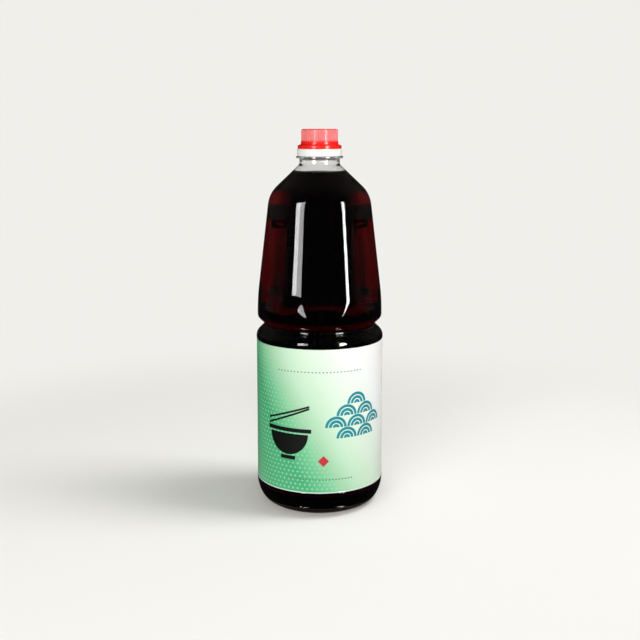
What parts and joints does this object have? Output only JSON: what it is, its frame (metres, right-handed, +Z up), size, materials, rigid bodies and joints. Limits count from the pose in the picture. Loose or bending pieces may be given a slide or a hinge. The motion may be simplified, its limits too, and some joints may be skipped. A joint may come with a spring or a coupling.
{
  "type": "bottle of tsuyu sauce",
  "caption": "Clear plastic bottle of dark tsuyu sauce with a tapered grip section, a waist groove, a wrapped paper label and a red screw cap on a white collar.",
  "frame": {"origin": "middle of the foot, on the surface the bottle stands on", "axes": "+Z up along the bottle's axis, label front and front rib towards -Y, one side edge of the grip section towards +X"},
  "size_m": [0.1028, 0.1028, 0.304],
  "materials": {
    "clear_pet": "clear blown PET, glossy and colourless",
    "tsuyu": "clear dark brown liquid, near black in depth and dark red where it is thin",
    "label_paper": "smooth coated paper, printed pale green to white",
    "white_plastic": "moulded white polyethylene, satin",
    "red_plastic": "moulded red polypropylene, satin gloss"
  },
  "bodies": {
    "root": {"bottle": "clear_pet", "tsuyu": "tsuyu", "label": "label_paper", "pouring_collar": "white_plastic", "cap": "red_plastic"}
  },
  "joints": []
}
